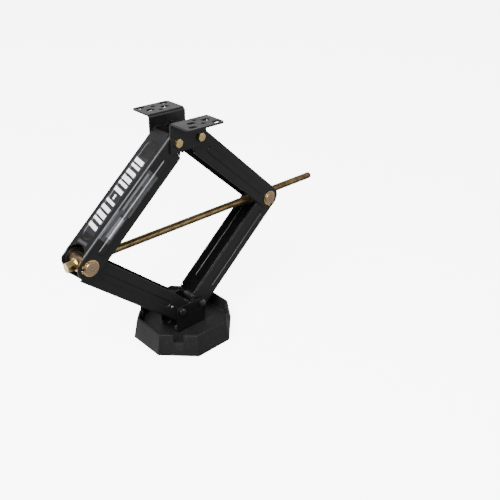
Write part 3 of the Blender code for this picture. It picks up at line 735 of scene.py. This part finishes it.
def stadium_ring(low, high, centre, width, level):
    """The line a given depth inside a long rounded shape."""
    middle, half = (low + high) / 2, (high - low) / 2 - width
    radius = width - level
    along = np.linspace(-half, half, 56)
    ring = [(x, -radius) for x in along] + arc(radius, -90, 90, 22, (half, 0.0))[1:-1]
    ring += [(x, radius) for x in along[::-1]] + arc(radius, 90, 270, 22, (-half, 0.0))[1:-1]
    return np.array(ring) + (middle, centre)


def arm_matrix(x, z, rotation):
    return Matrix.Translation((x, 0, z)) @ Euler(rotation).to_matrix().to_4x4()


# ---- brackets

def top_bracket(name, side, finish):
    """An angle plate. Its outer face is the arm side of the web and the top of the flange."""
    bend, thick = 0.0062, BRACKET_PLATE
    web_in = UPPER_FACE
    low = TOP_Z - 0.020
    straight = MOUNT_Z - bend - low
    curve = bend * math.pi / 2
    reach = 0.090 - web_in - bend
    half = 0.045

    def place(p, q, depth):
        phi = np.clip((q - straight) / bend, 0, math.pi / 2)
        extra = np.maximum(q - straight - curve, 0)
        radius = bend - depth
        y = web_in + bend - radius * np.cos(phi) + extra
        z = low + np.minimum(q, straight) + radius * np.sin(phi)
        return np.stack([side * p, side * y, z], -1)

    top = straight + curve + reach
    corner = 0.0075
    low_corner = 0.0018
    outline = arc(low_corner, 180, 270, 4, (-half + low_corner, low_corner))
    outline += arc(low_corner, 270, 360, 4, (half - low_corner, low_corner))
    outline += [(half, straight), (half, straight + curve)]
    outline += arc(corner, 0, 90, 10, (half - corner, top - corner))
    outline += arc(corner, 90, 180, 10, (corner - half, top - corner))
    outline += [(-half, straight + curve), (-half, straight)]
    flat = straight + curve - web_in - bend
    holes = [stadium(0.0185, 0.0095, (-x, flat + y), 12)
             for x, y in ((-0.014, 0.059), (0.022, 0.058), (-0.026, 0.0785), (0.031, 0.080))]
    holes += [stadium(0.0095, 0.0066, (-x, flat + y), 10) for x, y in ((0.0035, 0.048), (0.0045, 0.0725))]
    holes += [arc(BOLT_HOLE, 0, 351, 39, (x, 0.020)) for x in (-HALF_SPACING, HALF_SPACING)]
    along = np.linspace(-half - 0.001, half + 0.001, 24)
    levels = [straight + curve * k / 10 for k in range(11)]
    lines = [(np.stack([along, np.full_like(along, level)], -1), False) for level in levels]
    return sheet_body(name, outline, holes, lines, place, thick, finish, "top_brackets", fillet=0.0006)


def base_bracket(finish):
    """A U-shaped plate that stands on the pad's floor. Its outer face is the outside of the U."""
    bend, thick = 0.0045, BRACKET_PLATE
    foot, outer = PAD_FLOOR_Z + GAP, LOWER_FACE + BRACKET_PLATE
    flat = outer - bend
    curve = bend * math.pi / 2

    def place(p, q, depth):
        side, w = np.sign(q), np.abs(q)
        phi = np.clip((w - flat) / bend, 0, math.pi / 2)
        extra = np.maximum(w - flat - curve, 0)
        radius = bend - depth
        y = np.minimum(w, flat) + radius * np.sin(phi)
        z = foot + bend - radius * np.cos(phi) + extra
        return np.stack([p, side * y, z], -1)

    def lift(z):
        return flat + curve + z - foot - bend

    ear = 0.0125
    half = HALF_SPACING + ear
    quarter = [(half, 0.0), (half, flat), (half, flat + curve)]
    quarter += arc(ear, 0, 90, 14, (HALF_SPACING, lift(BASE_Z)))
    up = quarter + [(-x, q) for x, q in quarter[::-1]]
    outline = up + [(x, -q) for x, q in up[::-1]]
    pivots = [(x, side * lift(BASE_Z)) for x in (-HALF_SPACING, HALF_SPACING) for side in (-1, 1)]
    holes = [arc(BOLT_HOLE, 0, 351, 39, pivot) for pivot in pivots]
    holes += [arc(0.0036, 0, 345, 23, place_of) for place_of in FOOT_SCREWS]
    along = np.linspace(-half - 0.001, half + 0.001, 24)
    lines = []
    for k in range(9):
        for sign in (-1, 1):
            lines.append((np.stack([along, np.full_like(along, sign * (flat + curve * k / 8))], -1), False))
    return sheet_body("base_bracket_piece", outline, holes, lines, place, thick, finish, "base",
                      fillet=0.0006)


# ---- base pad

def rounded_octagon(angle):
    """Distance to an octagon of unit apothem with softly rounded corners."""
    turn = np.mod(angle + math.pi / 8, math.pi / 4) - math.pi / 8
    total = sum(np.maximum(np.cos(turn - k * math.pi / 4), 0) ** 230 for k in (-1, 0, 1))
    return total ** (-1 / 230)


def smooth_profile(corners, radii, steps=6):
    """A polyline with its corners rounded, as points."""
    points = [np.array(corners[0], float)]
    for k in range(1, len(corners) - 1):
        before, here, after = (np.array(corners[j], float) for j in (k - 1, k, k + 1))
        a, b = before - here, after - here
        la, lb = np.linalg.norm(a), np.linalg.norm(b)
        a, b = a / la, b / lb
        half = math.acos(np.clip(a @ b, -1, 1)) / 2
        reach = min(radii[k - 1] / math.tan(half), la * 0.48, lb * 0.48)
        for share in np.linspace(0, 1, steps + 1):
            first, last = here + a * reach, here + b * reach
            one, two = first + (here - first) * share, here + (last - here) * share
            points.append(one + (two - one) * share)
    points.append(np.array(corners[-1], float))
    return np.array(points)


def base_pad(finish):
    """A dished octagon with a raised rim, a spreading skirt and a shallow hollow, notched on four sides."""
    rim, underside = 0.0495, 0.015
    corners = [(0.002, PAD_FLOOR_Z), (0.0935, PAD_FLOOR_Z), (0.0955, rim), (0.1002, rim), (0.109, 0.0),
               (0.1049, 0.0), (0.1015, underside), (0.002, underside)]
    profile = smooth_profile(corners, (0.004, 0.0010, 0.0012, 0.0010, 0.0006, 0.002))
    near_corner = [22.5 + d for d in (-3, -1.8, -1.1, -0.55, 0, 0.55, 1.1, 1.8, 3)]
    fan = list(np.arange(-18, 18.1, 4.5))
    angles = np.radians(sorted({round((45 * k + d) % 360, 3) for k in range(8) for d in near_corner + fan}))
    reach = rounded_octagon(angles)
    rings = [on_axis("Z", apothem * reach, z, angles) for apothem, z in profile]
    points, faces = skin(rings)
    pad = object_from("base_pad_piece", points, faces, finish, "base", PAD)

    width, low, corner = 0.011, 0.0306, 0.004
    outline = [(width, 0.070), (-width, 0.070)] + arc(corner, 180, 270, 6, (corner - width, low + corner))
    outline += arc(corner, 270, 360, 6, (width - corner, low + corner))
    cutters = []
    for k in range(4):
        points, faces = skin([[(x, y, z) for x, z in outline] for y in (0.088, 0.130)])
        turn = Matrix.Rotation(math.pi / 4 + k * math.pi / 2, 4, "Z")
        cutters.append(object_from(f"notch_{k}", points, faces, finish, None, None, turn))
    cut(pad, *cutters)
    return soften(pad, 0.0006)


def pad_ribs(finish):
    """The pad's underside: eight radial ribs and a hub, all ending level with its lip."""
    for k in range(4):
        half, top = 0.1045, 0.0160
        outline = [(-half, 0.0), (half, 0.0), (0.1018, top), (-0.1018, top)]

        def place(p, q, depth, turn=k * math.pi / 4):
            y = depth - 0.002
            c, s = math.cos(turn), math.sin(turn)
            return np.stack([p * c - y * s, p * s + y * c, q], -1)

        rib = sheet_body(f"pad_rib_{k + 1}", outline, [], [], place, 0.004, finish, None, PAD, fillet=0.0006)
        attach(rib, "base")
    profile = [(0, 0.0), (0.0172, 0.0), (0.0180, 0.0008), (0.0180, 0.0160), (0, 0.0160)]
    hub = turned("pad_hub", profile, "Z", finish, None, PAD, (0, 0, 0), 48)
    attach(hub, "base")


# ---- fasteners, trunnions and screw

def bush(bore, outside, low, high, inner, outer):
    """A ring's profile with its bore and outside chamfered, the latter by a radial and an axial size."""
    edge, drop = outside - outer[0], outer[1]
    return [(bore, low + inner), (bore + inner, low), (edge, low), (outside, low + drop),
            (outside, high - drop), (edge, high), (bore + inner, high), (bore, high - inner)]


def bolts(word, x, z, face, sleeve_half, finishes, metal, slot, body, turn):
    """A pivot bolt through both flanges, its nut, and the sleeve between the flanges."""
    across, radius, washer = 0.015875, 0.00555, 0.0004
    centre = (x, 0, z)
    place = f"{word}_bolt"
    head = hex_piece(f"{place}_piece", "Y", across, -face - washer, -face - BOLT_HEAD, turn, metal, body,
                     slot, centre, (False, True), washer=washer, nodes=(place,))
    profile = [(0, -face), (radius, -face), (radius, face + 0.004), (0, face + 0.004)]
    shank = turned(f"{place}_shank", profile, "Y", metal, None, slot, centre, 40)
    tip = thread(f"{place}_thread", "Y", radius, 0.0007, 0.0018, face + 0.002, face + 0.0128, metal, None,
                 slot, centre)
    for piece in (shank, tip):
        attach(piece, body)
    hex_piece(f"{word}_nut_piece", "Y", across, face, face + BOLT_NUT, turn + 0.35, metal, body, slot, centre,
              bore=BOLT_HOLE, nodes=(f"{word}_nut",))
    tube = bush(BOLT_HOLE, SLEEVE_RADIUS, -sleeve_half, sleeve_half, 0.0003, (0.0003, 0.0003))
    turned(f"{word}_sleeve_piece", tube, "Y", finishes["steel"], body, STEEL, centre, 48, True,
           nodes=(f"{word}_sleeve",))
    return head


def trunnion(word, x, bore, spot_faced, finish):
    """A cross pin with ring grooves, a centre mark in each end face and a bore for the screw."""
    half, radius, groove = 0.0361, 0.0141, 0.0128
    low, high = UPPER_FACE - GAP / 2, UPPER_FACE + RING_THICKNESS + GAP
    end = [(radius, 0.0), (radius, low - 0.0002), (radius - 0.0002, low), (groove, low), (groove, high),
           (radius - 0.0002, high), (radius, high + 0.0002), (radius, half - 0.0012),
           (radius - 0.0003, half - 0.0007), (radius - 0.0012, half), (radius * 0.6, half), (0.0016, half),
           (0.0008, half - 0.0009), (0, half - 0.0010)]
    profile = [(r, -t) for r, t in end[:0:-1]] + end
    name = f"{word}_trunnion"
    centre = (x, 0, SCREW_Z)
    piece = turned(f"{name}_piece", profile, "Y", finish, name, GOLD, centre, 72, nodes=(name,))
    cut(piece, rod_cutter("X", bore, -0.03, 0.03, centre))
    if spot_faced:
        for side in (-1, 1):
            low, high = sorted((side * SPOT_FACE, side * 0.03))
            cut(piece, rod_cutter("X", 0.0158, low, high, centre))
    return piece


def retaining_ring(name, x, side, opening, finish, body):
    """An open spring ring with a hole in each lug."""
    start, end = opening + 9, opening + 351
    outer, inner, lug = 0.0171, 0.0131, 0.0203
    neck = lug - 0.0016
    outline = arc(lug, start, start + 12, 5) + arc(0.0014, start + 12, start + 60, 4, polar(neck, start + 12))
    outline += arc(outer, start + 19, end - 19, 56)
    outline += arc(0.0014, end - 60, end - 12, 4, polar(neck, end - 12)) + arc(lug, end - 12, end, 5)
    outline += arc(inner, end, start, 60)
    holes = [arc(0.0011, 0, 330, 11, polar(0.0177, angle)) for angle in (start + 7, end - 7)]

    def place(p, q, depth):
        outer_face = np.full_like(p, side * (UPPER_FACE + RING_THICKNESS))
        return np.stack([p, outer_face - side * depth, q], -1)

    return sheet_body(f"{name}_piece", outline, holes, [], place, RING_THICKNESS, finish, body, GOLD,
                      Matrix.Translation((x, 0, SCREW_Z)), fillet=0.0002)


def polar(radius, angle):
    return radius * math.cos(math.radians(angle)), radius * math.sin(math.radians(angle))


def screw_group(finishes):
    """The lead screw with its drive hexagon, thrust washers, stop collar and collar pin."""
    body, centre = "lead_screw", (-PIN_X, 0, SCREW_Z)
    gold, steel = finishes["gold"], finishes["steel"]
    washer_low = SPOT_FACE + GAP
    washer_high = washer_low + 0.0026
    hex_low = washer_high + GAP
    tip = SCREW_TIP + PIN_X
    # The screw and its neck take the darkened yellow zinc: painted shade
    thread("lead_screw_piece", "X", SCREW_RADIUS, 0.0012, 0.003175, hex_low + 0.010, tip, finishes["screw"],
           body, GOLD, centre, nodes=("lead_screw",))
    profile = [(0, -washer_high), (0.0076, -washer_high), (SCREW_RADIUS, -washer_high + 0.0004),
               (SCREW_RADIUS, hex_low + 0.012), (0.0066, hex_low + 0.0135), (0, hex_low + 0.0135)]
    neck = turned("lead_screw_neck", profile, "X", finishes["screw"], None, GOLD, centre, 48)
    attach(neck, body)
    hex_piece("drive_hex_piece", "X", 0.01905, -hex_low, -hex_low - 0.019, math.radians(-30), gold, body,
              GOLD, centre, (False, True), nodes=("drive_hex",))
    for word, low, high in (("outer", -washer_high, -washer_low), ("inner", washer_low, washer_high)):
        ring = bush(0.0083, 0.0143, low, high, 0.0003, (0.0005, 0.0004))
        name = f"{word}_thrust_washer"
        turned(f"{name}_piece", ring, "X", gold, body, GOLD, centre, 64, True, nodes=(name,))
    low, high = hex_low, hex_low + 0.012
    ring = bush(0.0083, 0.0130, low, high, 0.0004, (0.0007, 0.0007))
    collar = turned("stop_collar_piece", ring, "X", steel, body, STEEL, centre, 64, True,
                    nodes=("stop_collar",))
    across = ((low + high) / 2 - PIN_X, 0, SCREW_Z)
    cut(collar, rod_cutter("Y", 0.0023, -0.02, 0.02, across))
    end = [(0.0020, 0.0121), (0.0016, 0.0125), (0, 0.0125)]
    pin = [(r, -y) for r, y in end[::-1]] + end
    turned("collar_pin_piece", pin, "Y", steel, body, STEEL, across, 28, nodes=("collar_pin",))


def small_parts(finishes):
    """The rivet on the left lower arm and the button-headed screws in the base bracket's foot."""
    along, across = 0.031, -0.0005
    x = -HALF_SPACING - along * math.cos(CHANNEL) - across * math.sin(CHANNEL)
    z = BASE_Z + along * math.sin(CHANNEL) - across * math.cos(CHANNEL)
    face, radius, height = LOWER["half"] + GAP, 0.0042, 0.0024
    dome = [(0, -face - height)]
    dome += [(radius * math.sin(a), -face - height * math.cos(a)) for a in np.radians(range(15, 90, 15))]
    dome += [(radius, -face), (0, -face)]
    turned("lower_arm_rivet_piece", dome, "Y", finishes["zinc"], "left_lower_arm", ZINC, (x, 0, z), 36,
           nodes=("lower_arm_rivet",))
    foot = PAD_FLOOR_Z + GAP
    seat = foot + BRACKET_PLATE + GAP
    shank, radius, edge = 0.0032, 0.0062, seat + 0.0014
    head = [(0, foot), (shank, foot), (shank, seat), (radius, seat), (radius, edge)]
    head += [(radius * math.cos(a), edge + 0.0021 * math.sin(a)) for a in np.radians((20, 40, 60))]
    head += [(0.0024, seat + 0.0034), (0.0022, seat + 0.0018), (0, seat + 0.0018)]
    for k, (x, y) in enumerate(FOOT_SCREWS):
        name = f"foot_screw_{k + 1}"
        turned(f"{name}_piece", head, "Z", finishes["zinc"], "base", ZINC, (x, y, 0), 36, nodes=(name,))


def build_jack():
    f = make_finishes()
    paint = f["paint"]
    base_pad(f["pad"])
    pad_ribs(f["pad"])
    base_bracket(paint)
    half_pitch = 180 / TEETH
    arms = (("left_lower_arm", LOWER, half_pitch, -HALF_SPACING, BASE_Z, (0, math.pi + CHANNEL, 0)),
            ("right_lower_arm", LOWER, 0.0, HALF_SPACING, BASE_Z, (math.pi, -CHANNEL, 0)),
            ("left_upper_arm", UPPER, half_pitch, -HALF_SPACING, TOP_Z, (0, CHANNEL, math.pi)),
            ("right_upper_arm", UPPER, 0.0, HALF_SPACING, TOP_Z, (0, CHANNEL, 0)))
    for name, kind, turn, x, z, facing in arms:
        coat = f["labelled"] if name == "left_upper_arm" else paint
        arm(f"{name}_piece", kind, turn, arm_matrix(x, z, facing), coat, name)
    top_bracket("front_top_bracket_piece", -1, paint)
    top_bracket("rear_top_bracket_piece", 1, paint)
    for side, word, base_turn, top_turn in ((-1, "left", 0.14, 0.2), (1, "right", 0.4, 0.45)):
        x = side * HALF_SPACING
        bolts(f"{word}_base", x, BASE_Z, *BASE_GRIP, f, f["zinc"], ZINC, "base", base_turn)
        bolts(f"{word}_top", x, TOP_Z, *TOP_GRIP, f, f["gold"], GOLD, "top_brackets", top_turn)
    trunnion("drive", -PIN_X, 0.00835, True, f["pin"])
    trunnion("nut", PIN_X, 0.0083, False, f["pin"])
    for word, x, opening in (("drive", -PIN_X, 170), ("nut", PIN_X, 290)):
        retaining_ring(f"{word}_front_ring", x, -1, opening, f["gold"], f"{word}_trunnion")
        retaining_ring(f"{word}_rear_ring", x, 1, opening, f["gold"], f"{word}_trunnion")
    screw_group(f)
    small_parts(f)


# ---- studio

def area_light(name, at, towards, size, power):
    data = bpy.data.lights.new(name, "AREA")
    data.shape = "RECTANGLE"
    data.size, data.size_y = size
    data.energy = power
    light = bpy.data.objects.new(name, data)
    bpy.context.scene.collection.objects.link(light)
    light.location = at
    light.rotation_euler = (Vector(towards) - Vector(at)).to_track_quat("-Z", "Y").to_euler()


def soft_sky(world):
    """Soft surroundings, darker above than below, with one bright card low at the back on the left."""
    world.use_nodes = True
    nodes, links = world.node_tree.nodes, world.node_tree.links
    direction = nodes.new("ShaderNodeTexCoord").outputs["Generated"]

    def share(value, low, high, at_low, at_high):
        node = nodes.new("ShaderNodeMapRange")
        links.new(value, node.inputs[0])
        for k, setting in enumerate((low, high, at_low, at_high)):
            node.inputs[k + 1].default_value = setting
        return node.outputs[0]

    split = nodes.new("ShaderNodeSeparateXYZ")
    links.new(direction, split.inputs[0])
    card = nodes.new("ShaderNodeVectorMath")
    card.operation = "DOT_PRODUCT"
    card.inputs[1].default_value = (-0.55, 0.70, -0.46)
    links.new(direction, card.inputs[0])
    total = nodes.new("ShaderNodeMath")
    links.new(share(split.outputs[2], -0.3, 0.6, 0.50, 0.23), total.inputs[0])
    links.new(share(card.outputs["Value"], 0.80, 0.98, 0.0, 1.3), total.inputs[1])
    background = nodes["Background"]
    background.inputs["Color"].default_value = (1.0, 1.0, 1.0, 1.0)
    links.new(total.outputs[0], background.inputs["Strength"])


def studio():
    world = bpy.data.worlds.new("studio")
    soft_sky(world)
    bpy.context.scene.world = world

    mesh = bpy.data.meshes.new("floor")
    reach = 9.0
    corners = [(-reach, -reach, 0), (reach, -reach, 0), (reach, reach, 0), (-reach, reach, 0)]
    mesh.from_pydata(corners, [], [(0, 1, 2, 3)])
    floor = bpy.data.objects.new("floor", mesh)
    bpy.context.scene.collection.objects.link(floor)
    floor.location.z = -0.0005
    s = Shader("pale_floor", roughness=0.65)
    colour = s.mix(s.noise(6.0, 3.0), (0.90, 0.90, 0.90), (0.93, 0.93, 0.93))
    s.set(Base_Color=colour, Emission_Color=(1, 1, 1, 1), Emission_Strength=6.5)
    mesh.materials.append(s.material)
    floor.visible_glossy = False
    floor.visible_diffuse = False

    middle = (0.0, 0.0, 0.26)
    area_light("key", (-1.5, -0.6, 2.1), middle, (1.6, 1.2), 175)
    area_light("fill", (1.3, -2.0, 1.1), middle, (1.6, 1.4), 22)
    area_light("rim", (0.6, 1.8, 1.7), middle, (2.2, 1.4), 15)

    azimuth, elevation, roll = (math.radians(v) for v in (-45.05, 29.51, 1.73))
    ahead = Vector((-math.sin(azimuth), math.cos(azimuth), 0))
    forward = ahead * math.cos(elevation) - Vector((0, 0, math.sin(elevation)))
    level = Vector((math.cos(azimuth), math.sin(azimuth), 0))
    right = math.cos(roll) * level + math.sin(roll) * level.cross(forward)
    data = bpy.data.cameras.new("camera")
    data.sensor_width = 36
    data.lens = 45.72
    camera = bpy.data.objects.new("camera", data)
    bpy.context.scene.collection.objects.link(camera)
    rotation = Matrix((right, right.cross(forward), -forward)).transposed().to_4x4()
    camera.matrix_world = Matrix.Translation((-0.74889, -0.95942, 0.8958)) @ rotation
    bpy.context.scene.camera = camera


build_jack()
studio()
bpy.context.view_layer.update()
